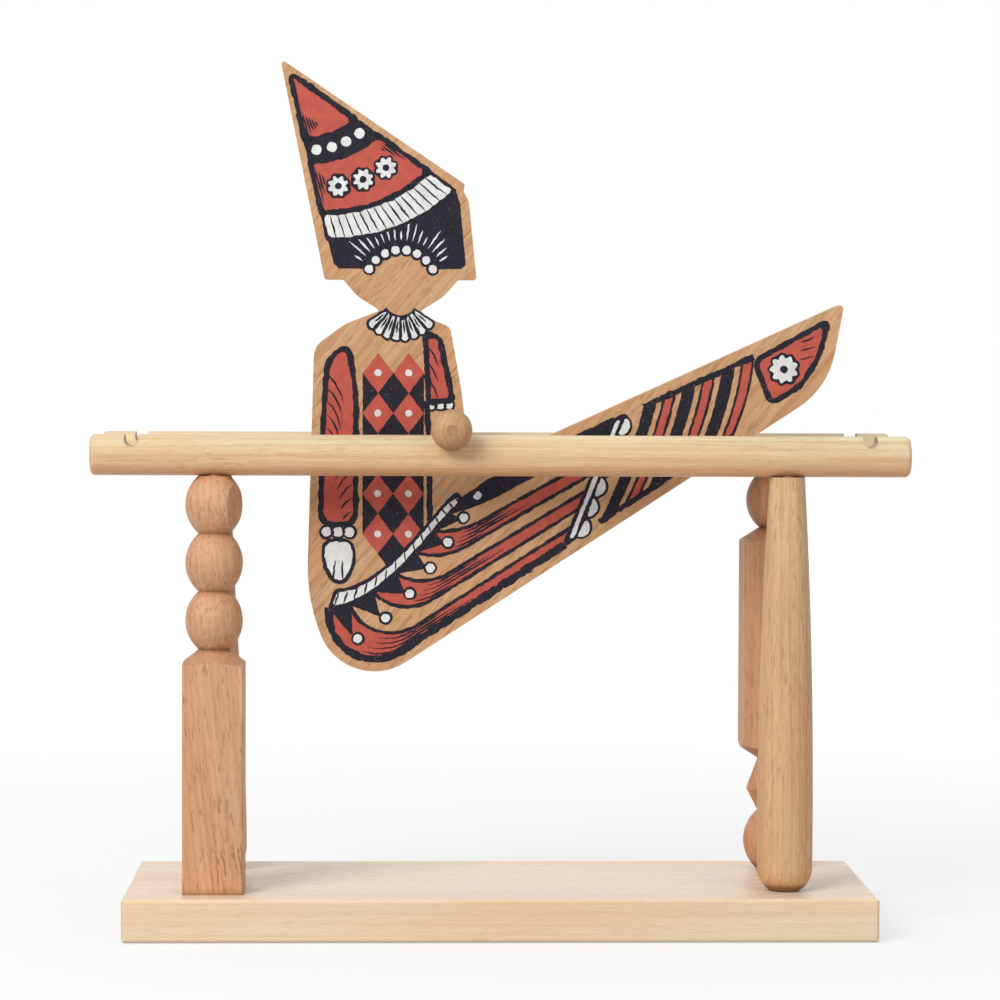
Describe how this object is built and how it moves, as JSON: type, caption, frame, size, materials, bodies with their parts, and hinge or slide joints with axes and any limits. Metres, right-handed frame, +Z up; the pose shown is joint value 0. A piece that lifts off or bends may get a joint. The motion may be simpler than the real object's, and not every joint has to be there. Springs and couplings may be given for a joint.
{
  "type": "wooden acrobat toy",
  "caption": "Flat wooden acrobat figure that whirls on a thin ball-ended rod and rolls along two notched round rails on turned posts over a base board.",
  "frame": {"origin": "middle of the base board's underside, on the surface that the toy stands on", "axes": "+X along the rails to the right as seen from the front, +Y from the front to the rear, +Z up"},
  "size_m": [0.3, 0.096, 0.3212],
  "materials": {
    "base_wood": "pale sanded beech, unvarnished",
    "rail_wood": "pale sanded dowel, unvarnished",
    "post_wood": "reddish turned beech, unvarnished",
    "figure_wood": "flat sanded hardwood board",
    "ball_wood": "turned wooden ball",
    "pin_wood": "plain dowel pin",
    "screw_steel": "bright zinc",
    "red_ink": "thin matt printing ink",
    "dark_ink": "thin matt printing ink",
    "white_ink": "thin matt printing ink"
  },
  "bodies": {
    "stand": {"base_board": "base_wood", "front_left_post": "post_wood", "front_right_post": "post_wood", "rear_left_post": "post_wood", "rear_right_post": "post_wood", "front_rail": "rail_wood", "rear_rail": "rail_wood", "front_left_pin": "pin_wood", "front_right_pin": "pin_wood", "rear_left_pin": "pin_wood", "rear_right_pin": "pin_wood", "front_left_screw": "screw_steel", "front_right_screw": "screw_steel", "rear_left_screw": "screw_steel", "rear_right_screw": "screw_steel"},
    "axle": {"axle_rod": "ball_wood", "front_ball": "ball_wood", "rear_ball": "ball_wood"},
    "figure": {"acrobat_figure": "figure_wood"}
  },
  "joints": [
    {"name": "travel", "type": "slide", "parent": "stand", "child": "axle", "axis": [1, 0, 0], "range_m": [-0.113, 0.15]},
    {"name": "spin", "type": "hinge", "parent": "axle", "child": "figure", "pos_m": [-0.0185, 0, 0.1856], "axis": [0, 1, 0], "continuous": true}
  ]
}
